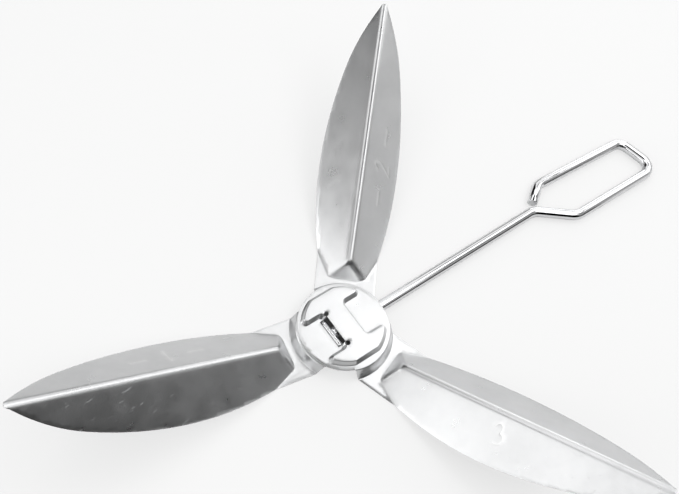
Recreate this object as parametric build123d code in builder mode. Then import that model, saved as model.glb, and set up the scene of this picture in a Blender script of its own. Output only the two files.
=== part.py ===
"""Take-apart fluke anchor: three pressed sheet-steel flukes that nest on one hub, and a rod shank.

Frame: +Z up, square to the hub discs. +X runs along the shank. The origin is on the hub's axis, in the
plane that the anchor lies on. The arms of the flukes and the shank lie on that plane.
"""
import os
from math import atan2, cos, degrees, radians, sin, sqrt, tan

from build123d import *

# ---------------------------------------------------------------- sheet and stack
sheet = 1.2  # thickness of the pressed sheet steel
stack_gap = 0.2  # free space between two nested sheets
rod_diameter = 12.0  # shank rod
rod_clearance = 0.3  # free space between the rod and the lowest disc

# ---------------------------------------------------------------- flukes
fluke_angles = (169.0, 49.0, -71.0)  # arm directions of flukes 1, 2 and 3, from the shank
tip_radius = 340.0  # hub axis to fluke tip, in plan
tip_height = 134.5  # height of the ridge line above the rest plane at the tip
ridge_height = 23.0  # height of the near end of the ridge
hip_gap = 7.8  # flat arm between the foot of its step and the steep front facet
hip_run = 11.5  # plan length of that facet, from its foot to the near end of the ridge
hip_half_width = 19.7  # half the width of that facet's foot
ridge_round = 5.0  # outside bend radius of the ridge and of the facet's edges
arm_corner_angle = 42.87  # from the arm's line to where its edge meets the disc's rim
belly_radius = 181.0  # where the leaf is widest, from the hub axis
belly_half_width = 44.0
shoulder_radius = 283.0  # where the leaf starts to curve to its tip
shoulder_half_width = 31.0
nose_length = 3.0  # rounded end of the leaf
nose_half_width = 4.0

# ---------------------------------------------------------------- hub
disc_radius = 48.5
joggle_clearance = 0.7  # an arm's step passes the rims of the discs below it
joggle_run = 5.0  # plan length of the step from the disc down to the arm
boss_height = 6.2  # the raised I-shape stands this far above its disc
boss_draft = 3.0  # plan run of the boss walls over their height
disc_rim = 3.5  # flat rim of the top disc, outside its boss
boss_flat_cut = 2.5  # the boss's two flats lie this far inside its circle
web_half_width = 12.0
notch_half_width = 23.0
boss_corner = 4.0
notch_corner = 3.0
slot_length = 33.4
slot_width = 7.0
relief_diameter = 5.6  # round ends of the lanced slot, at the web's corners
relief_inset = 1.0  # of the hole's centre, from the web's edge
relief_reach = 2.4  # of the hole's centre, past the slot's end

# ---------------------------------------------------------------- shank
crossbar_diameter = 6.0
crossbar_length = 31.6
crossbar_proud = 0.5  # the crossbar stands this far above the top disc
end_chamfer = 0.6  # on the cut ends of the crossbar and of the rod
rod_start = 2.5  # crossbar axis to the rod's end
crank_start = 7.0  # the rod leaves its level inside the hollow web here, from the crossbar axis
crank_run = 14.0  # and is down on the rest plane after this
crank_radius = 12.0
shank_length = 295.5  # crossbar axis to the first bend of the loop
loop_rise_run = 42.7  # run of the slanted side next to the shank
loop_side_offset = 32.0  # long side of the loop, from the shank's line
loop_far_length = 471.8  # crossbar axis to the loop's far corner
loop_far_offset = 34.5
loop_end_length = 458.6  # crossbar axis to the second far corner
loop_end_offset = -16.8
loop_back_length = 324.7  # where the free side turns in towards the shank
loop_back_offset = -24.2
loop_tip_length = 301.8  # free end of the rod
loop_tip_offset = -8.8
loop_near_bend = 22.0  # the bends at both ends of the slanted side next to the shank
loop_corner_bend = 15.0  # the loop's other three corners

# ---------------------------------------------------------------- worked out
pitch = sheet + stack_gap
arm_half_width = disc_radius * sin(radians(arm_corner_angle))
step_start = disc_radius + joggle_clearance
step_end = step_start + joggle_run
hip_start = step_end + hip_gap
ridge_start = hip_start + hip_run  # hub axis to the near end of the ridge, in plan
boss_radius = disc_radius - disc_rim - boss_draft  # top edges of the uppermost boss
boss_flat = boss_radius - boss_flat_cut
notch_middle = (web_half_width + boss_radius) / 2
lowest_disc = rod_diameter + rod_clearance
flukes = len(fluke_angles)
stack_top = lowest_disc + (flukes - 1) * pitch + sheet
ridge_slope = (tip_height - ridge_height) / (tip_radius - ridge_start)
flank_slope = (ridge_height - sheet - ridge_slope * hip_run) / hip_half_width
hip_slope = (ridge_height - sheet) / hip_run
neck_radius = hip_start + (arm_half_width - hip_half_width) * flank_slope / ridge_slope
wall_angle = atan2(boss_height, boss_draft)  # boss wall from the horizontal
wall_taper = 90 - degrees(wall_angle)
wall_growth = (pitch - pitch * cos(wall_angle)) / sin(wall_angle)  # each boss clears the one under it
wall_inset = sheet * tan(wall_angle / 2)
slot_outer = web_half_width + slot_width  # the tongue ends here
crossbar_x = -web_half_width - slot_width / 2
crossbar_z = stack_top + crossbar_proud - crossbar_diameter / 2
rod_radius = rod_diameter / 2
rod_level = lowest_disc + boss_height - rod_clearance - rod_radius  # close under the lowest web
above_all = 2 * tip_height


def roof_block(inset):
    """Solid under a fluke's ridge, flanks and front facet, moved inwards by inset, arm along +X."""
    flank_drop = inset * sqrt(1 + ridge_slope**2 + flank_slope**2)
    hip_shift = inset * sqrt(1 + hip_slope**2) / hip_slope
    span = tip_radius - hip_start + 2 * belly_half_width
    start_height = ridge_height - ridge_slope * hip_run - flank_drop
    skirt = 6 * belly_half_width
    with BuildPart() as block:
        with BuildSketch(Plane.YZ.offset(hip_start)):
            with BuildLine():
                Polyline(
                    (-skirt, start_height - skirt * flank_slope),
                    (0, start_height),
                    (skirt, start_height - skirt * flank_slope),
                    close=True,
                )
            make_face()
        extrude(amount=span, dir=(1, 0, ridge_slope))
        foot = Vector(hip_start + hip_shift - sheet / hip_slope, 0, 0)
        split(bisect_by=Plane(origin=foot, x_dir=(0, 1, 0), z_dir=(hip_slope, 0, -1)), keep=Keep.TOP)
        bends = block.edges().filter_by(lambda edge: edge.center().Z > 0).sort_by(Axis.Z)
        ridge_edges = [edge for edge in bends if is_bend(edge, block.part)]
        fillet(ridge_edges, radius=ridge_round - inset)
        split(bisect_by=Plane.XY, keep=Keep.TOP)
    return block.part


def is_bend(edge, solid):
    """True for the ridge and for the two edges of the front facet, which all end at the ridge's near end."""
    near_corners = solid.vertices().filter_by(lambda corner: corner.X < ridge_start + hip_run)
    near_end = max(near_corners, key=lambda corner: corner.Z).center()
    return any((corner.center() - near_end).length < sheet / 10 for corner in edge.vertices())


def leaf_outline():
    """Plan outline of the arm and leaf, from the hub's axis to the tip, arm along +X."""
    belly_line = ThreePointArc(
        (neck_radius, arm_half_width),
        (belly_radius, belly_half_width),
        (shoulder_radius, shoulder_half_width),
    )
    nose_start = (tip_radius - nose_length, nose_half_width)
    tip_line = TangentArc(belly_line @ 1, nose_start, tangent=belly_line % 1)
    nose = ThreePointArc(tip_line @ 1, (tip_radius, 0), (tip_radius - nose_length, -nose_half_width))
    mirror(belly_line, about=Plane.XZ)
    mirror(tip_line, about=Plane.XZ)
    Polyline((neck_radius, arm_half_width), (0, arm_half_width), (0, -arm_half_width),
             (neck_radius, -arm_half_width))
    return nose


def boss_outline(grow):
    """I-shape of the boss at its foot, moved outwards by grow: two flanges joined by a web along Y."""
    foot = grow + boss_draft
    Circle(boss_radius + foot)
    Rectangle(2 * (boss_radius + foot), 2 * (boss_flat + foot), mode=Mode.INTERSECT)
    notch_depth = 2 * boss_radius
    notch_x = web_half_width + foot + notch_depth / 2
    with Locations((notch_x, 0), (-notch_x, 0)):
        Rectangle(notch_depth, 2 * (notch_half_width - foot), mode=Mode.SUBTRACT)


def round_boss(corners):
    """Round the notches' inner corners and the flange tips of a boss outline."""
    beside_notch = [corner for corner in corners if abs(corner.Y) < notch_half_width]
    fillet([corner for corner in beside_notch if abs(corner.X) < notch_middle], radius=notch_corner)
    fillet([corner for corner in beside_notch if abs(corner.X) > notch_middle], radius=boss_corner)


def press_fluke(number):
    """One fluke in its place: disc, stepped arm, ridged leaf, raised boss and slot."""
    level = number - 1
    disc_bottom = lowest_disc + level * pitch
    disc_top = disc_bottom + sheet
    grow = (level - (flukes - 1)) * wall_growth
    step_angle = atan2(disc_bottom, joggle_run)
    step_shift = sheet * tan(step_angle / 2)
    arm_plane = Plane.XY.rotated((0, 0, fluke_angles[level]))
    outer_roof = roof_block(0)
    inner_roof = roof_block(sheet)

    with BuildPart() as leaf:
        with BuildSketch(Plane.XZ):
            with BuildLine():
                Polyline(
                    (0, disc_bottom),
                    (step_start, disc_bottom),
                    (step_end, 0),
                    (tip_radius, 0),
                    (tip_radius, sheet),
                    (step_end + step_shift, sheet),
                    (step_start + step_shift, disc_top),
                    (0, disc_top),
                    close=True,
                )
            make_face()
        revolve(axis=Axis.Z)
        add(outer_roof)
        add(inner_roof, mode=Mode.SUBTRACT)
        with BuildSketch():
            with BuildLine():
                leaf_outline()
            make_face()
            Circle(disc_radius)
        extrude(amount=above_all, mode=Mode.INTERSECT)

    with BuildPart() as fluke:
        add(leaf.part.moved(Location(arm_plane)))
        with BuildSketch(Plane.XY.offset(disc_top)) as outside:
            boss_outline(grow)
            round_boss(outside.vertices())
        extrude(amount=boss_height, taper=wall_taper)
        with BuildSketch(Plane.XY.offset(disc_bottom)) as inside:
            boss_outline(grow - wall_inset)
            round_boss(inside.vertices())
        extrude(amount=boss_height, taper=wall_taper, mode=Mode.SUBTRACT)
        web_edge = web_half_width + grow - wall_inset
        with BuildSketch():
            with Locations((-(slot_outer + web_edge) / 2, 0)):
                Rectangle(slot_outer - web_edge, slot_length)
            relief_y = slot_length / 2 + relief_reach
            with Locations((relief_inset - web_edge, -relief_y), (relief_inset - web_edge, relief_y)):
                Circle(relief_diameter / 2)
        extrude(amount=above_all, mode=Mode.SUBTRACT)
    fluke.part.label = f"fluke_{number}"
    return fluke.part


def shank_points():
    """Corners of the shank's centre line, from the crossbar along the rod and round the loop."""
    return [
        (crossbar_x + rod_start, 0, rod_level),
        (crossbar_x + crank_start, 0, rod_level),
        (crossbar_x + crank_start + crank_run, 0, rod_radius),
        (crossbar_x + shank_length, 0, rod_radius),
        (crossbar_x + shank_length + loop_rise_run, -loop_side_offset, rod_radius),
        (crossbar_x + loop_far_length, -loop_far_offset, rod_radius),
        (crossbar_x + loop_end_length, -loop_end_offset, rod_radius),
        (crossbar_x + loop_back_length, -loop_back_offset, rod_radius),
        (crossbar_x + loop_tip_length, -loop_tip_offset, rod_radius),
    ]


bend_radii = [crank_radius] * 2 + [loop_near_bend] * 2 + [loop_corner_bend] * 3

with BuildPart() as crossbar:
    with BuildSketch(Plane.XZ.offset(-crossbar_length / 2)):
        with Locations((crossbar_x, crossbar_z)):
            Circle(crossbar_diameter / 2)
    extrude(amount=crossbar_length)
    chamfer(crossbar.edges().filter_by(GeomType.CIRCLE), length=end_chamfer)
crossbar.part.label = "shank_crossbar"

with BuildPart() as shank:
    with BuildLine() as centre_line:
        FilletPolyline(*shank_points(), radius=bend_radii)
    with BuildSketch(Plane(origin=shank_points()[0], z_dir=(1, 0, 0))):
        Circle(rod_radius)
    sweep()
    add(crossbar.part, mode=Mode.SUBTRACT)
    chamfer(shank.faces().sort_by_distance(shank_points()[-1])[0].edges(), length=end_chamfer)
shank.part.label = "shank_rod"

os.makedirs("parts", exist_ok=True)
for number in range(1, flukes + 1):
    fluke = press_fluke(number)
    export_step(fluke, f"parts/fluke_{number}.step")
export_step(crossbar.part, "parts/shank_crossbar.step")
export_step(shank.part, "parts/shank_rod.step")
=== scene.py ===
"""Looks of the take-apart fluke anchor: pressed sheet-steel flukes on one hub, and a bright rod shank.

The anchor's sizes are in millimetres up to the point where a mesh is made. Blender's lengths are in metres.
"""

from math import atan2, cos, hypot, pi, radians, sin, sqrt, tan

import bpy
import numpy as np
from mathutils import Euler, Matrix, Vector, geometry, noise


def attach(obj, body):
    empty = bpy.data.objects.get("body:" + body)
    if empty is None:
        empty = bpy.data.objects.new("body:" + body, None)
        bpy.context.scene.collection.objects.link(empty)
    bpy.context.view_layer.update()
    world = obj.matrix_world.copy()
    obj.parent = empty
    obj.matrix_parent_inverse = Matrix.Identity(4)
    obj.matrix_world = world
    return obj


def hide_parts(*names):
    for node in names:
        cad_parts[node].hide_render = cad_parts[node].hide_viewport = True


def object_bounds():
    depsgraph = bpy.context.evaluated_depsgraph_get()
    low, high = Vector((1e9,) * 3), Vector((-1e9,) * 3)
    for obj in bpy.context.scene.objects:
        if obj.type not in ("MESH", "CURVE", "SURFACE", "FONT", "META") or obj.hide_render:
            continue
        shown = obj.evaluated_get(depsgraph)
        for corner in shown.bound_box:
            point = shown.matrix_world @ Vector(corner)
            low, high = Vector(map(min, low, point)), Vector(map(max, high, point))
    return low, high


MM = 0.001
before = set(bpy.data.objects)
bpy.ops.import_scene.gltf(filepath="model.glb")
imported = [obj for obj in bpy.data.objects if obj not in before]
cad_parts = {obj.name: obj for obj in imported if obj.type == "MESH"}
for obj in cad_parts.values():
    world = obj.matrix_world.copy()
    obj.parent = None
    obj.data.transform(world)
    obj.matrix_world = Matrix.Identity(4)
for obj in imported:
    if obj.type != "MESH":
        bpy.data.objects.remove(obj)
cad_low, cad_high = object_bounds()

# ---------------------------------------------------------------- sheet and stack, in mm
SHEET = 1.2
STACK_GAP = 0.2
ROD_RADIUS = 6.0
ROD_CLEARANCE = 0.3  # between the rod and the sheet above it
FLUKE_ANGLES = (169.0, 49.0, -71.0)  # arm directions of flukes 1, 2 and 3, in degrees from the shank
PITCH = SHEET + STACK_GAP
LOWEST_DISC = 2 * ROD_RADIUS + ROD_CLEARANCE  # underside of the lowest disc, above the rest plane
STACK_TOP = LOWEST_DISC + (len(FLUKE_ANGLES) - 1) * PITCH + SHEET

# ---------------------------------------------------------------- fluke
TIP_RADIUS = 340.0
TIP_HEIGHT = 134.5
RIDGE_START = 73.5
RIDGE_HEIGHT = 23.0
RIDGE_SLOPE = (TIP_HEIGHT - RIDGE_HEIGHT) / (TIP_RADIUS - RIDGE_START)
HIP_START = 62.0  # foot of the steep facet at the near end of the ridge
HIP_HALF_WIDTH = 19.7
HIP_SLOPE = (RIDGE_HEIGHT - SHEET) / (RIDGE_START - HIP_START)
FLANK_SLOPE = (RIDGE_HEIGHT - SHEET - RIDGE_SLOPE * (RIDGE_START - HIP_START)) / HIP_HALF_WIDTH
ARM_HALF_WIDTH = 33.0
NECK_RADIUS = HIP_START + (ARM_HALF_WIDTH - HIP_HALF_WIDTH) * FLANK_SLOPE / RIDGE_SLOPE
BELLY = (181.0, 44.0)  # radius and half-width where the leaf is widest
SHOULDER = (283.0, 31.0)  # where it starts to curve to its tip
NOSE_LENGTH = 3.0
NOSE_HALF_WIDTH = 4.0
NOSE_MIDDLE = (TIP_RADIUS - 0.75, 2.6)
RIDGE_BLEND = 7.6  # how far the ridge's bend is smoothed, as a height
FOOT_BLEND = 1.3  # the same for the crease between the ridge's flanks and the flat arm
FLANK_WAVE = 0.35  # the pressed flanks aren't quite flat
WAVE_LENGTH = (70.0, 40.0)
WAVE_FADE = (60.0, 12.0)  # the waves grow over these distances, from the neck and from the ridge
WAVE_SHIFT = 7.3  # from one fluke's waves to the next one's
EDGE_DULLING = 0.2
DULLED_ANGLE = 62.0  # degrees; only the sheet's cut edges are sharper

# ---------------------------------------------------------------- hub
DISC_RADIUS = 48.5
JOGGLE_CLEARANCE = 0.7
JOGGLE_RUN = 5.0
JOGGLE_BENDS = (1.6, 2.0)  # radii at the foot and at the top of the pressed step
STEP_SPREAD = 0.85  # the step's lines reach this far on both sides of the arm's line, in radians
BOSS_HEIGHT = 6.2
BOSS_DRAFT = 3.0
BOSS_RADIUS = 42.0
BOSS_FLAT = 39.5
BOSS_BENDS = (1.0, 1.7)  # at the foot and at the top of the boss's walls
BOSS_CORNER = 4.0
NOTCH_CORNER = 4.5
CORNER_RUN = 8.0  # of the straight line kept beside each corner
WEB_HALF_WIDTH = 12.0
NOTCH_HALF_WIDTH = 23.0
SLOT_LENGTH = 33.4
SLOT_WIDTH = 7.0
RELIEF_RADIUS = 2.8
RELIEF_INSET = 1.0
RELIEF_REACH = 2.4
WALL_ANGLE = atan2(BOSS_HEIGHT, BOSS_DRAFT)
WALL_GROWTH = (PITCH - PITCH * cos(WALL_ANGLE)) / sin(WALL_ANGLE)
WALL_INSET = SHEET * tan(WALL_ANGLE / 2)

# ---------------------------------------------------------------- scribed marks
MARK_DEPTH = 0.14
MARK_HALF_WIDTH = 0.4
MARK_SHINE = 1.4  # how far a mark shines, in half-widths
DASH_LENGTH = 15.0
DIGIT_SIZE = (15.0, 18.0)  # along the arm and across it, in plan
# radius and side of the digit's centre, its reading direction, and how far off the dashes start (0 for none)
MARKS = {1: (186.0, -22.0, 8.0, 22.0), 2: (182.0, -24.0, 0.0, 24.0), 3: (188.0, -18.0, 30.0, 0.0)}

# ---------------------------------------------------------------- shank
CROSSBAR_RADIUS = 3.0
CROSSBAR_LENGTH = 31.6
CROSSBAR_PROUD = 0.5  # above the top disc
CROSSBAR_X = -WEB_HALF_WIDTH - SLOT_WIDTH / 2
CROSSBAR_Z = STACK_TOP + CROSSBAR_PROUD - CROSSBAR_RADIUS
END_CHAMFER = 0.6
ROD_LEVEL = LOWEST_DISC + BOSS_HEIGHT - ROD_CLEARANCE - ROD_RADIUS  # of the rod's end, inside the hollow web
# distances along the shank, from the crossbar's axis
ROD_START = 2.5
CRANK_START = 7.0
CRANK_END = 21.0
LOOP_CORNERS = ((295.5, 0), (338.2, -32.0), (471.8, -34.5), (458.6, 16.8), (324.7, 24.2))
ROD_TIP = (301.8, 8.8)
BEND_RADII = (12.0, 12.0, 22.0, 22.0, 15.0, 15.0, 15.0)  # crank, near bends, and the loop's other corners

# ---------------------------------------------------------------- longest runs in the meshes, in mm
OUTLINE_STEP = 2.6
NOSE_STEP = 1.0
CREASE_STEP = 1.6
SLOT_STEP = 2.0
RIDGE_STEP = 3.2
FILL_SPACING = 3.6
FILL_REACH = 52.0  # the filled field starts this far behind and beside the hub's axis
FILL_CELL = 4.0
MERGE_REACH = 1e-4
FLAT_RUN = 20.0  # flat sheet at both ends of a step's profile
CREASE_END = 4.0  # the crease's lines run on past the neck

# ---------------------------------------------------------------- counts in the meshes
ROD_STEPS = 14  # in each bend
CORNER_STEPS = 6
CROWN_STEPS = 4
FOLD_STEPS = 5
RELIEF_SIDES = 24
STEP_POINTS = 61
RIDGE_LINES = 9

# ---------------------------------------------------------------- colours
SHEET_GREY = (0.74, 0.745, 0.75, 1)
SHEET_LIGHT = (0.82, 0.825, 0.83, 1)
MARK_COLOUR = (0.95, 0.95, 0.95, 1)
ROD_COLOUR = (0.86, 0.865, 0.875, 1)
FLOOR_COLOUR = (0.95, 0.95, 0.95, 1)

# ---------------------------------------------------------------- studio, in metres
FLOOR_REACH = 6.0
FLOOR_GAP = 0.3 * MM
FLOOR_COVER = 0.4  # the shank shows through the floor when it swings down
HUB_SHADE = (0.032, 0.044)  # the floor is full inside the first radius, and thin outside the second
BACKDROP_STRENGTH = 1.15
SOFTBOX_DISTANCE = 1.7
SOFTBOX_WATTS = 10.0  # for each square metre, at strength 1
SOFTBOX_TARGET = (0, 0, 0.03)
# rings of softboxes: elevation in degrees, (width, height) of each, and {azimuth in degrees: strength}
SOFTBOX_RINGS = (
    (60, (0.85, 0.80), {0: 0.55, 60: 0.40, 120: 0.40, 180: 0.25, 240: 0.30, 300: 0.55}),
    (32, (1.15, 0.80), {0: 0.45, 45: 0.30, 135: 0.10, 180: 0.40, 315: 0.10}),
    (9, (0.85, 0.50), {0: 0.15, 30: 0.55, 60: 0.10, 120: 0.20, 150: 1.50, 180: 0.45, 330: 0.20}),
)
CAMERA_PLACE = (-0.3955, -0.2508, 0.9729)
CAMERA_TURN = (28.63, -9.72, -36.55)  # degrees
CAMERA_LENS = 54.16  # millimetres, as is the sensor
SENSOR_WIDTH = 36.0


# ================================================================ outlines and profiles
def three_point_arc(start, middle, end, step):
    """Points of the arc through three points, start left out and end kept."""
    (ax, ay), (bx, by), (cx, cy) = start, middle, end
    a, b, c = ax * ax + ay * ay, bx * bx + by * by, cx * cx + cy * cy
    twice = 2 * (ax * (by - cy) + bx * (cy - ay) + cx * (ay - by))
    x = (a * (by - cy) + b * (cy - ay) + c * (ay - by)) / twice
    y = (a * (cx - bx) + b * (ax - cx) + c * (bx - ax)) / twice
    radius = hypot(ax - x, ay - y)
    first = atan2(ay - y, ax - x)
    turn = (atan2(cy - y, cx - x) - first + pi) % (2 * pi) - pi
    count = max(2, round(abs(turn) * radius / step))
    angles = [first + turn * i / count for i in range(1, count + 1)]
    return [(x + radius * cos(angle), y + radius * sin(angle)) for angle in angles]


def straight(start, end, step):
    """Points of a straight line, start left out and end kept."""
    dx, dy = end[0] - start[0], end[1] - start[1]
    count = max(1, round(hypot(dx, dy) / step))
    return [(start[0] + dx * i / count, start[1] + dy * i / count) for i in range(1, count + 1)]


def tangent_arc(start, tangent, end, step):
    """Points of the arc that leaves start along tangent and ends at end."""
    s, t, e = Vector(start), Vector(tangent).normalized(), Vector(end)
    normal = Vector((-t.y, t.x))
    chord = e - s
    radius = chord.length_squared / (2 * chord.dot(normal))
    centre = s + normal * radius
    half = (s - centre + e - centre).normalized() * abs(radius)
    return three_point_arc(start, tuple(centre + half), end, step)


def rounded(corners, radii, steps):
    """An open line of straight runs with its inner corners rounded, each to its own radius."""
    line = [Vector(corners[0])]
    for before, corner, after, radius in zip(corners, corners[1:], corners[2:], radii):
        c = Vector(corner)
        a, b = (Vector(before) - c).normalized(), (Vector(after) - c).normalized()
        half = a.angle(b) / 2
        reach = radius / tan(half)
        centre = c + (a + b).normalized() * (radius / sin(half))
        start, end = c + a * reach - centre, c + b * reach - centre
        for i in range(steps + 1):
            share = i / steps
            sweep = pi - 2 * half
            line.append(centre + (start * sin((1 - share) * sweep) + end * sin(share * sweep)) / sin(sweep))
    line.append(Vector(corners[-1]))
    return line


def fluke_outline():
    """Closed outline of one fluke in plan, arm along +X."""
    root = (sqrt(DISC_RADIUS**2 - ARM_HALF_WIDTH**2), ARM_HALF_WIDTH)
    neck = (NECK_RADIUS, ARM_HALF_WIDTH)
    nose = (TIP_RADIUS - NOSE_LENGTH, NOSE_HALF_WIDTH)
    belly = three_point_arc(neck, BELLY, SHOULDER, OUTLINE_STEP)
    heading = (belly[-1][0] - belly[-2][0], belly[-1][1] - belly[-2][1])
    side = [root, *straight(root, neck, OUTLINE_STEP), *belly]
    side += tangent_arc(SHOULDER, heading, nose, OUTLINE_STEP)
    side += three_point_arc(nose, NOSE_MIDDLE, (TIP_RADIUS, 0), NOSE_STEP)
    other = [(x, -y) for x, y in reversed(side[:-1])]
    back = three_point_arc(other[-1], (0, -DISC_RADIUS), (-DISC_RADIUS, 0), OUTLINE_STEP)
    back += three_point_arc((-DISC_RADIUS, 0), (0, DISC_RADIUS), root, OUTLINE_STEP)
    return other + back[:-1] + side


def boss_wall(grow):
    """Closed line half-way up the walls of a raised I-shape that is grow larger than the uppermost one."""
    reach = grow + BOSS_DRAFT / 2
    circle, flat = BOSS_RADIUS + reach, BOSS_FLAT + reach
    web, notch = WEB_HALF_WIDTH + reach, NOTCH_HALF_WIDTH - reach
    tip = Vector((sqrt(circle**2 - notch**2), notch))
    crown = Vector((sqrt(circle**2 - flat**2), flat))
    tip_way = Vector((-tip.y, tip.x)).normalized()
    crown_way = Vector((-crown.y, crown.x)).normalized()
    before_tip = tip - Vector((CORNER_RUN, 0))
    inner = rounded([(web, 0), (web, notch), before_tip], [NOTCH_CORNER], CORNER_STEPS)[:-1]
    outer = rounded([before_tip, tip, tip + CORNER_RUN * tip_way], [BOSS_CORNER], CORNER_STEPS)[1:-1]
    top = rounded([crown - CORNER_RUN * crown_way, crown, (0, flat)], [BOSS_CORNER], CROWN_STEPS)[1:]
    first, last = atan2(outer[-1].y, outer[-1].x), atan2(top[0].y, top[0].x)
    count = round(circle * (last - first) / CREASE_STEP)
    angles = [first + (last - first) * i / count for i in range(1, count)]
    arc = [Vector((cos(angle), sin(angle))) * circle for angle in angles]
    quarter = refined([(p.x, p.y) for p in inner + outer + arc + top], CREASE_STEP)
    upper = quarter + [(-x, y) for x, y in reversed(quarter[:-1])]
    return upper + [(-x, -y) for x, y in upper[1:-1]]


def refined(line, step):
    """The same open line with no run longer than step, and no empty run."""
    points = [line[0]]
    for start, end in zip(line, line[1:]):
        run = hypot(end[0] - start[0], end[1] - start[1])
        if run > step:
            points += straight(start, end, step)
        elif run > 1e-6:
            points.append(end)
    return points


def turned(line, angle):
    """The same line turned about the hub's axis."""
    return [(x * cos(angle) - y * sin(angle), x * sin(angle) + y * cos(angle)) for x, y in line]


def offset_loop(loop, distance):
    """A closed counter-clockwise line moved outwards by distance, square to itself."""
    p = np.array(loop)
    along = np.roll(p, -1, 0) - np.roll(p, 1, 0)
    along /= np.linalg.norm(along, axis=1)[:, None]
    return p + distance * np.stack([along[:, 1], -along[:, 0]], 1)


def stroke_ring(stroke):
    """Closed line round an open stroke, at the edge of its groove."""
    p = np.array(stroke)
    along = np.gradient(p, axis=0)
    along /= np.linalg.norm(along, axis=1)[:, None]
    side = np.stack([-along[:, 1], along[:, 0]], 1) * MARK_HALF_WIDTH
    start = p[0] - along[0] * MARK_HALF_WIDTH
    end = p[-1] + along[-1] * MARK_HALF_WIDTH
    return np.vstack([start, p - side, end, (p + side)[::-1]])


def inside(points, loop):
    """For each point, whether it lies inside a closed line."""
    x, y = points[:, 0], points[:, 1]
    hit = np.zeros(len(points), bool)
    for (ax, ay), (bx, by) in zip(loop, np.roll(loop, -1, 0)):
        if ay != by:
            hit ^= ((ay > y) != (by > y)) & (x < ax + (y - ay) * (bx - ax) / (by - ay))
    return hit


def distance_to(points, line, closed):
    """The distance from each point to a line in plan."""
    line = np.array(line, float)
    ends = np.roll(line, -1, 0) if closed else line[1:]
    best = np.full(len(points), 1e9)
    for a, b in zip(line, ends):
        ab = b - a
        share = np.clip(((points - a) @ ab) / max(ab @ ab, 1e-12), 0, 1)
        best = np.minimum(best, np.linalg.norm(points - a - share[:, None] * ab, axis=1))
    return best


def bent_step(run, rise, bends):
    """Profile of a step up in bent sheet, its foot at 0: (distances, heights) with both bends rounded."""
    line = rounded([(-FLAT_RUN, 0), (0, 0), (run, rise), (run + FLAT_RUN, rise)], bends, FOLD_STEPS)
    return np.array([p.x for p in line]), np.array([p.y for p in line])


def shifted(start, end, shift):
    """A straight line moved to its left by shift."""
    along = (Vector(end) - Vector(start)).normalized()
    off = Vector((-along.y, along.x)) * shift
    return Vector(start) + off, Vector(end) + off


# ================================================================ scribed marks
def digit_lines(number):
    """Strokes of a hand-scribed digit in a box 1 high, centred on 0, reading along +X."""
    if number == 1:
        return [[(-0.14, 0.3), (0.02, 0.5), (0.02, -0.5)]]
    if number == 2:
        angles = np.linspace(radians(-75), radians(125), 9)
        bow = [(0.26 * sin(angle), 0.24 + 0.26 * cos(angle)) for angle in angles]
        return [bow + [(-0.3, -0.5)], [(-0.3, -0.5), (0.34, -0.47)]]
    angles = np.linspace(radians(-70), radians(165), 9)
    upper = [(0.24 * sin(angle), 0.25 + 0.25 * cos(angle)) for angle in angles]
    angles = np.linspace(radians(20), radians(235), 10)
    lower = [(0.28 * sin(angle), -0.24 + 0.26 * cos(angle)) for angle in angles]
    return [upper + lower]


def mark_lines(number):
    """The strokes on one flank, in the fluke's plan: the digit, and a dash at each side if it has them."""
    radius, side, reading, dash_reach = MARKS[number]
    turn = Matrix.Rotation(radians(reading), 2)
    centre = Vector((radius, side))
    size = Vector(DIGIT_SIZE)
    lines = []
    for stroke in digit_lines(number):
        lines.append([tuple(centre + turn @ (Vector(p) * size)) for p in stroke])
    if dash_reach:
        for way in (-1, 1):
            near = centre + Vector((way * dash_reach, 0))
            far = near + Vector((way * DASH_LENGTH, 0))
            lines.append([tuple(near), tuple(far)])
    return [refined(line, CREASE_STEP) for line in lines]


# ================================================================ pressed flukes
def smooth_low(a, b, blend):
    """The lower of two heights, rounded where they meet."""
    near = np.maximum(blend - np.abs(a - b), 0) / blend
    return np.minimum(a, b) - near * near * blend / 4


def disc_bottom(number):
    """Height of the underside of a fluke's disc."""
    return LOWEST_DISC + (number - 1) * PITCH


def boss_growth(number):
    """How much larger a fluke's boss is than the uppermost one. It is negative below that one."""
    return (number - len(FLUKE_ANGLES)) * WALL_GROWTH


def step_profile(number):
    """The step from a fluke's arm up to its disc: (radii, heights above the arm)."""
    rise = disc_bottom(number)
    foot = DISC_RADIUS + JOGGLE_CLEARANCE + JOGGLE_RUN + SHEET * tan(atan2(rise, JOGGLE_RUN) / 2)
    run, heights = bent_step(JOGGLE_RUN, rise, JOGGLE_BENDS)
    return foot - run, heights


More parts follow.
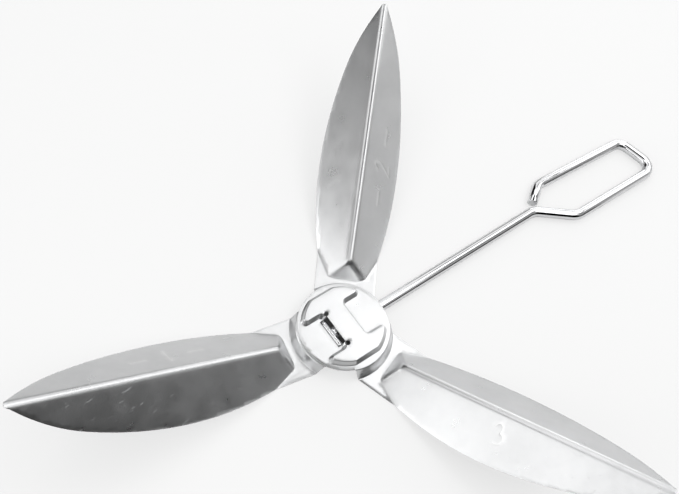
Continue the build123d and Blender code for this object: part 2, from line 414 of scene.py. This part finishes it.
def fluke_height(points, number, wall, marks):
    """Height of the sheet's upper face over each point of the plan."""
    x, y = points[:, 0], points[:, 1]
    radii, heights = step_profile(number)
    arm = SHEET + np.interp(-np.hypot(x, y), -radii, heights)

    line = RIDGE_HEIGHT + RIDGE_SLOPE * (x - RIDGE_START)
    roof = smooth_low(line - FLANK_SLOPE * y, line + FLANK_SLOPE * y, RIDGE_BLEND)
    roof = smooth_low(roof, SHEET + HIP_SLOPE * (x - HIP_START), RIDGE_BLEND)
    height = -smooth_low(-arm, -roof, FOOT_BLEND)

    run, rise = bent_step(BOSS_DRAFT, BOSS_HEIGHT, BOSS_BENDS)
    away = distance_to(points, wall, True)
    into = np.where(inside(points, np.array(wall)), away, -away) + BOSS_DRAFT / 2
    height += np.interp(into, run, rise)

    leaf = np.clip((x - NECK_RADIUS) / WAVE_FADE[0], 0, 1) * np.clip(np.abs(y) / WAVE_FADE[1], 0, 1)
    field = [(px / WAVE_LENGTH[0], py / WAVE_LENGTH[1], number * WAVE_SHIFT) for px, py in points]
    height += FLANK_WAVE * leaf * np.array([noise.noise(Vector(place)) for place in field])

    for stroke in marks:
        height -= MARK_DEPTH * np.clip(1 - distance_to(points, stroke, False) / MARK_HALF_WIDTH, 0, 1)
    return height


def openings(number, arm_angle):
    """The lanced slot and the round reliefs at its ends, in the fluke's plan."""
    web_edge = WEB_HALF_WIDTH + boss_growth(number) - WALL_INSET
    slot_outer = WEB_HALF_WIDTH + SLOT_WIDTH
    half = SLOT_LENGTH / 2
    slot = [(-slot_outer, half), (-slot_outer, -half), (-web_edge, -half), (-web_edge, half)]
    holes = [refined(slot + slot[:1], SLOT_STEP)[:-1]]
    angles = np.linspace(0, 2 * pi, RELIEF_SIDES, endpoint=False)
    for side in (-1, 1):
        x, y = RELIEF_INSET - web_edge, side * (half + RELIEF_REACH)
        holes.append([(x + RELIEF_RADIUS * cos(a), y + RELIEF_RADIUS * sin(a)) for a in angles])
    return [turned(hole, -arm_angle) for hole in holes]


def crease_lines(number):
    """Open lines in plan that the mesh follows, so that each bend of the sheet keeps its shape."""
    lines = []
    radii, _ = step_profile(number)
    angles = np.linspace(-STEP_SPREAD, STEP_SPREAD, STEP_POINTS)
    for radius in radii[1:-1]:
        lines.append([(radius * cos(a), radius * sin(a)) for a in angles])
    bend = RIDGE_BLEND / (2 * FLANK_SLOPE)
    for y in np.linspace(-bend, bend, RIDGE_LINES):
        lines.append(refined([(RIDGE_START - 1, y), (TIP_RADIUS + 2, y)], RIDGE_STEP))
    hip_foot = (HIP_START, HIP_HALF_WIDTH)
    past_neck = NECK_RADIUS + CREASE_END
    slope = (ARM_HALF_WIDTH - HIP_HALF_WIDTH) / (NECK_RADIUS - HIP_START)
    crease_end = (past_neck, HIP_HALF_WIDTH + slope * (past_neck - HIP_START))
    folds = [shifted(hip_foot, (RIDGE_START, 0), shift) for shift in range(-3, 4)]
    folds += [shifted(hip_foot, crease_end, shift) for shift in (-0.9, -0.3, 0.3, 0.9)]
    for side in (-1, 1):
        for start, end in folds:
            lines.append(refined([(start.x, start.y * side), (end.x, end.y * side)], CREASE_STEP))
    for x in (HIP_START - 0.7, HIP_START - 0.25, HIP_START + 0.25, HIP_START + 0.7):
        lines.append(refined([(x, -HIP_HALF_WIDTH), (x, HIP_HALF_WIDTH)], CREASE_STEP))
    return lines


def triangulated(outline, holes, loops, lines):
    """Points and triangles of a plan inside outline and outside holes, with edges along loops and lines."""
    vertices, edges = [], []
    for loop in loops:
        base = len(vertices)
        vertices += [tuple(p) for p in loop]
        edges += [(base + i, base + (i + 1) % len(loop)) for i in range(len(loop))]
    for line in lines:
        base = len(vertices)
        vertices += [tuple(p) for p in line]
        edges += [(base + i, base + i + 1) for i in range(len(line) - 1)]
    vertices += fill_points(np.array(vertices), outline)
    found, _, faces, *_ = geometry.delaunay_2d_cdt([Vector(v) for v in vertices], edges, [], 0, MERGE_REACH)
    points = np.array([(v.x, v.y) for v in found])
    middles = points[np.array(faces)].mean(1)
    kept = inside(middles, np.array(outline))
    for hole in holes:
        kept &= ~inside(middles, np.array(hole))
    used, renumbered = np.unique(np.array(faces)[kept], return_inverse=True)
    return points[used], renumbered.reshape(-1, 3)


def press_fluke(number):
    """One fluke: the sheet's upper face over its plan, with the modifiers that make it a sheet."""
    arm_angle = radians(FLUKE_ANGLES[number - 1])
    outline = fluke_outline()
    wall = turned(boss_wall(boss_growth(number)), -arm_angle)
    holes = openings(number, arm_angle)
    marks = mark_lines(number)
    run, _ = bent_step(BOSS_DRAFT, BOSS_HEIGHT, BOSS_BENDS)
    loops = [outline, *holes]
    loops += [offset_loop(wall, BOSS_DRAFT / 2 - distance) for distance in run[1:-1]]
    loops += [stroke_ring(stroke) for stroke in marks]
    plan, faces = triangulated(outline, holes, loops, crease_lines(number) + marks)

    turn = Matrix.Rotation(arm_angle, 4, "Z")
    heights = fluke_height(plan, number, wall, marks)
    mesh = bpy.data.meshes.new(f"pressed_fluke_{number}")
    corners = [turn @ (Vector((x, y, z)) * MM) for (x, y), z in zip(plan, heights)]
    mesh.from_pydata(corners, [], faces.tolist())
    scribed = np.zeros(len(plan))
    for stroke in marks:
        near = distance_to(plan, stroke, False) / MARK_HALF_WIDTH
        scribed = np.maximum(scribed, np.clip(MARK_SHINE - near, 0, 1))
    mesh.attributes.new("scribed", "FLOAT", "POINT").data.foreach_set("value", scribed)
    mesh.update()
    if mesh.polygons[0].normal.z < 0:
        mesh.flip_normals()
    mesh.shade_smooth()
    fluke = bpy.data.objects.new(f"pressed_fluke_{number}", mesh)
    bpy.context.scene.collection.objects.link(fluke)
    make_sheet(fluke)
    return fluke


def make_sheet(fluke):
    """Give the upper face its thickness, downwards, and dull the cut edges."""
    thicken = fluke.modifiers.new("sheet", "SOLIDIFY")
    thicken.thickness = SHEET * MM
    thicken.offset = -1
    thicken.use_even_offset = False
    thicken.use_quality_normals = True
    dull = fluke.modifiers.new("dulled_edges", "BEVEL")
    dull.width = EDGE_DULLING * MM
    dull.segments = 2
    dull.limit_method = "ANGLE"
    dull.angle_limit = radians(DULLED_ANGLE)
    dull.harden_normals = False


def fill_points(edge_points, outline):
    """Points that fill a fluke's plan evenly, clear of the lines drawn on it."""
    cells = {}
    for x, y in edge_points:
        cells.setdefault((int(x // FILL_CELL), int(y // FILL_CELL)), []).append((x, y))
    steps = [(i, k) for i in (-1, 0, 1) for k in (-1, 0, 1)]
    field = []
    for j, y in enumerate(np.arange(-FILL_REACH, FILL_REACH, FILL_SPACING * sqrt(0.75))):
        for x in np.arange(-FILL_REACH + (j % 2) * FILL_SPACING / 2, TIP_RADIUS, FILL_SPACING):
            column, row = int(x // FILL_CELL), int(y // FILL_CELL)
            close = [p for i, k in steps for p in cells.get((column + i, row + k), ())]
            if all(hypot(x - px, y - py) > FILL_SPACING / 2 for px, py in close):
                field.append((x, y))
    field = np.array(field)
    return [tuple(p) for p in field[inside(field, np.array(outline))]]


# ================================================================ shank
def shank_corners():
    """Corners of the rod's centre line, from the crossbar to the free end of the loop."""
    corners = [(ROD_START, 0, ROD_LEVEL), (CRANK_START, 0, ROD_LEVEL), (CRANK_END, 0, ROD_RADIUS)]
    corners += [(x, y, ROD_RADIUS) for x, y in (*LOOP_CORNERS, ROD_TIP)]
    return [Vector(corner) + Vector((CROSSBAR_X, 0, 0)) for corner in corners]


def sweep_rod(name, centres, radii, sides=40):
    """A closed round bar along a smooth centre line, with its ends capped."""
    vertices, faces = [], []
    ahead = (centres[1] - centres[0]).normalized()
    across = ahead.orthogonal().normalized()
    for i, (centre, radius) in enumerate(zip(centres, radii)):
        way = (centres[min(i + 1, len(centres) - 1)] - centres[max(i - 1, 0)]).normalized()
        across = (across - way * across.dot(way)).normalized()
        other = way.cross(across)
        for k in range(sides):
            a = 2 * pi * k / sides
            vertices.append((centre + (across * cos(a) + other * sin(a)) * radius) * MM)
        if i:
            low, high = (i - 1) * sides, i * sides
            for k in range(sides):
                after = (k + 1) % sides
                faces.append((low + k, low + after, high + after, high + k))
    faces.append(tuple(reversed(range(sides))))
    faces.append(tuple(range(len(vertices) - sides, len(vertices))))
    mesh = bpy.data.meshes.new(name)
    mesh.from_pydata(vertices, [], faces)
    mesh.shade_smooth()
    for cap in (mesh.polygons[-1], mesh.polygons[-2]):
        cap.use_smooth = False
    piece = bpy.data.objects.new(name, mesh)
    bpy.context.scene.collection.objects.link(piece)
    return piece


def chamfered(line, radius):
    """A centre line and its radii, with the bar's two ends chamfered."""
    first = (line[1] - line[0]).normalized() * END_CHAMFER
    last = (line[-2] - line[-1]).normalized() * END_CHAMFER
    centres = [line[0], line[0] + first, *line[1:-1], line[-1] + last, line[-1]]
    radii = [radius - END_CHAMFER, *[radius] * (len(centres) - 2), radius - END_CHAMFER]
    return centres, radii


def make_shank():
    """The rod with its bent loop, and the crossbar on its end."""
    line = rounded(shank_corners(), BEND_RADII, ROD_STEPS)
    rod = sweep_rod("rod_and_loop", *chamfered(line, ROD_RADIUS))
    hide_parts("shank_rod")
    half = Vector((0, CROSSBAR_LENGTH / 2, 0))
    middle = Vector((CROSSBAR_X, 0, CROSSBAR_Z))
    bar_line = [middle + half * (i / 4) for i in range(-4, 5)]
    bar = sweep_rod("crossbar", *chamfered(bar_line, CROSSBAR_RADIUS))
    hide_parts("shank_crossbar")
    return rod, bar


# ================================================================ materials
def node(tree, kind, **values):
    """A new shader node with its inputs set by name."""
    made = tree.nodes.new(kind)
    for key, value in values.items():
        if key in made.inputs:
            made.inputs[key].default_value = value
        else:
            setattr(made, key, value)
    return made


def mottle(tree, place, scale, detail, low, high):
    """Soft noise, spread over low to high."""
    spots = node(tree, "ShaderNodeTexNoise", Scale=scale, Detail=detail, Roughness=0.6)
    tree.links.new(place.outputs["Object"], spots.inputs["Vector"])
    spread = node(tree, "ShaderNodeMapRange")
    spread.inputs["From Min"].default_value = 0.3
    spread.inputs["From Max"].default_value = 0.7
    spread.inputs["To Min"].default_value = low
    spread.inputs["To Max"].default_value = high
    tree.links.new(spots.outputs["Fac"], spread.inputs["Value"])
    return spread.outputs["Result"]


def scratches(tree, place, turn, depth):
    """Sparse long thin scratches that run one way, from zero to depth."""
    laid = node(tree, "ShaderNodeMapping", Rotation=turn, Scale=(9, 420, 420))
    tree.links.new(place.outputs["Object"], laid.inputs["Vector"])
    lines = node(tree, "ShaderNodeTexNoise", Scale=1, Detail=2)
    tree.links.new(laid.outputs["Vector"], lines.inputs["Vector"])
    sparse = node(tree, "ShaderNodeMapRange")
    sparse.inputs["From Min"].default_value = 0.66
    sparse.inputs["From Max"].default_value = 0.74
    sparse.inputs["To Max"].default_value = depth
    tree.links.new(lines.outputs["Fac"], sparse.inputs["Value"])
    return sparse.outputs["Result"]


def sheet_steel():
    """Satin pressed sheet: cloudy reflections, a fine grain, sparse scratches and bright scribed marks."""
    material = bpy.data.materials.new("galvanised_sheet")
    material.use_nodes = True
    tree = material.node_tree
    shader = tree.nodes["Principled BSDF"]
    place = node(tree, "ShaderNodeTexCoord")
    shader.inputs["Metallic"].default_value = 1.0
    colour = node(tree, "ShaderNodeMixRGB")
    colour.inputs["Color1"].default_value = SHEET_GREY
    colour.inputs["Color2"].default_value = SHEET_LIGHT
    tree.links.new(mottle(tree, place, scale=22, detail=3, low=0, high=1), colour.inputs["Fac"])
    bright = node(tree, "ShaderNodeMixRGB")
    bright.inputs["Color2"].default_value = MARK_COLOUR
    scribed = node(tree, "ShaderNodeAttribute", attribute_name="scribed")
    tree.links.new(scribed.outputs["Fac"], bright.inputs["Fac"])
    tree.links.new(colour.outputs["Color"], bright.inputs["Color1"])
    tree.links.new(bright.outputs["Color"], shader.inputs["Base Color"])
    rough = node(tree, "ShaderNodeMath", operation="ADD")
    tree.links.new(mottle(tree, place, scale=45, detail=3, low=0.27, high=0.33), rough.inputs[0])
    tree.links.new(scratches(tree, place, turn=(0, 0, 0.5), depth=0.16), rough.inputs[1])
    tree.links.new(rough.outputs["Value"], shader.inputs["Roughness"])
    grain = node(tree, "ShaderNodeTexNoise", Scale=900, Detail=3)
    tree.links.new(place.outputs["Object"], grain.inputs["Vector"])
    relief = node(tree, "ShaderNodeMath", operation="SUBTRACT")
    tree.links.new(grain.outputs["Fac"], relief.inputs[0])
    tree.links.new(scratches(tree, place, turn=(0, 0, 1.9), depth=0.8), relief.inputs[1])
    bump = node(tree, "ShaderNodeBump", Strength=0.08, Distance=0.0004)
    tree.links.new(relief.outputs["Value"], bump.inputs["Height"])
    tree.links.new(bump.outputs["Normal"], shader.inputs["Normal"])
    return material


def bright_rod():
    """Polished round bar, a little unevenly polished."""
    material = bpy.data.materials.new("polished_rod")
    material.use_nodes = True
    tree = material.node_tree
    shader = tree.nodes["Principled BSDF"]
    place = node(tree, "ShaderNodeTexCoord")
    shader.inputs["Metallic"].default_value = 1.0
    shader.inputs["Base Color"].default_value = ROD_COLOUR
    polish = mottle(tree, place, scale=120, detail=4, low=0.06, high=0.14)
    tree.links.new(polish, shader.inputs["Roughness"])
    return material


# ================================================================ studio
def floor_sheet(name, material):
    """A wide level sheet, just under the anchor."""
    mesh = bpy.data.meshes.new(name)
    level = cad_low.z - FLOOR_GAP
    corners = ((-1, -1), (1, -1), (1, 1), (-1, 1))
    mesh.from_pydata([(x * FLOOR_REACH, y * FLOOR_REACH, level) for x, y in corners], [], [(0, 1, 2, 3)])
    mesh.materials.append(material)
    sheet = bpy.data.objects.new(name, mesh)
    bpy.context.scene.collection.objects.link(sheet)
    return sheet


def pale_surface(name):
    """A plain matt white material."""
    material = bpy.data.materials.new(name)
    material.use_nodes = True
    tree = material.node_tree
    tree.nodes.remove(tree.nodes["Principled BSDF"])
    pale = node(tree, "ShaderNodeBsdfDiffuse", Color=FLOOR_COLOUR)
    tree.links.new(pale.outputs["BSDF"], tree.nodes["Material Output"].inputs["Surface"])
    return material


def frosted_surface(name):
    """The same, full under the hub and thinner outside it, so that the backdrop shows through."""
    material = pale_surface(name)
    tree = material.node_tree
    pale = tree.nodes["Diffuse BSDF"]
    place = node(tree, "ShaderNodeTexCoord")
    reach = node(tree, "ShaderNodeVectorMath", operation="LENGTH")
    tree.links.new(place.outputs["Object"], reach.inputs[0])
    cover = node(tree, "ShaderNodeMapRange", interpolation_type="SMOOTHSTEP")
    cover.inputs["From Min"].default_value = HUB_SHADE[0]
    cover.inputs["From Max"].default_value = HUB_SHADE[1]
    cover.inputs["To Min"].default_value = 1.0
    cover.inputs["To Max"].default_value = FLOOR_COVER
    tree.links.new(reach.outputs["Value"], cover.inputs["Value"])
    clear = node(tree, "ShaderNodeBsdfTransparent")
    frosted = node(tree, "ShaderNodeMixShader")
    tree.links.new(cover.outputs["Result"], frosted.inputs["Fac"])
    tree.links.new(clear.outputs["BSDF"], frosted.inputs[1])
    tree.links.new(pale.outputs["BSDF"], frosted.inputs[2])
    tree.links.new(frosted.outputs["Shader"], tree.nodes["Material Output"].inputs["Surface"])
    return material


def studio_floor():
    """A pale floor in two sheets: one reflects light and is hidden from the camera, and the camera sees one."""
    bounce = floor_sheet("floor_bounce", pale_surface("pale_floor"))
    bounce.visible_camera = False
    bounce.visible_shadow = False
    seen = floor_sheet("floor", frosted_surface("frosted_floor"))
    seen.visible_diffuse = False
    seen.visible_glossy = False
    seen.visible_transmission = False
    seen.visible_shadow = False


def softbox(name, place, size, power):
    """An area light that faces the hub. The camera doesn't see it."""
    data = bpy.data.lights.new(name, "AREA")
    data.shape = "RECTANGLE"
    data.size, data.size_y = size
    data.energy = power
    lamp = bpy.data.objects.new(name, data)
    lamp.location = place
    lamp.rotation_euler = (Vector(SOFTBOX_TARGET) - Vector(place)).to_track_quat("-Z", "Y").to_euler()
    lamp.visible_camera = False
    bpy.context.scene.collection.objects.link(lamp)
    return lamp


def studio_lights():
    """Softboxes all round in three rings. The strongest stands low, beyond fluke 1."""
    for elevation, size, strengths in SOFTBOX_RINGS:
        for azimuth, strength in strengths.items():
            e, a = radians(elevation), radians(azimuth)
            place = Vector((cos(e) * cos(a), cos(e) * sin(a), sin(e))) * SOFTBOX_DISTANCE
            power = SOFTBOX_WATTS * size[0] * size[1] * strength
            softbox(f"softbox_{elevation}_{azimuth}", place, size, power)


def studio_world():
    """A white backdrop that only the camera sees, so that the softboxes alone light the anchor."""
    world = bpy.data.worlds.new("studio")
    world.use_nodes = True
    world.node_tree.nodes["Background"].inputs["Color"].default_value = (1, 1, 1, 1)
    world.node_tree.nodes["Background"].inputs["Strength"].default_value = BACKDROP_STRENGTH
    world.cycles_visibility.diffuse = False
    world.cycles_visibility.glossy = False
    world.cycles_visibility.transmission = False
    bpy.context.scene.world = world


def studio_camera():
    """The viewing angle: from above, turned so that the shank runs up to the right."""
    data = bpy.data.cameras.new("camera")
    data.sensor_width = SENSOR_WIDTH
    data.lens = CAMERA_LENS
    camera = bpy.data.objects.new("camera", data)
    camera.location = CAMERA_PLACE
    camera.rotation_euler = Euler([radians(a) for a in CAMERA_TURN], "XYZ")
    bpy.context.scene.collection.objects.link(camera)
    bpy.context.scene.camera = camera


# ================================================================ the whole scene
steel = sheet_steel()
for number in range(1, len(FLUKE_ANGLES) + 1):
    fluke = press_fluke(number)
    fluke.data.materials.append(steel)
    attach(fluke, f"fluke_{number}")
    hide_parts(f"fluke_{number}")
rod_finish = bright_rod()
for piece in make_shank():
    piece.data.materials.append(rod_finish)
    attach(piece, "shank")

studio_floor()
studio_world()
studio_camera()
studio_lights()
bpy.context.scene.view_settings.view_transform = "Standard"
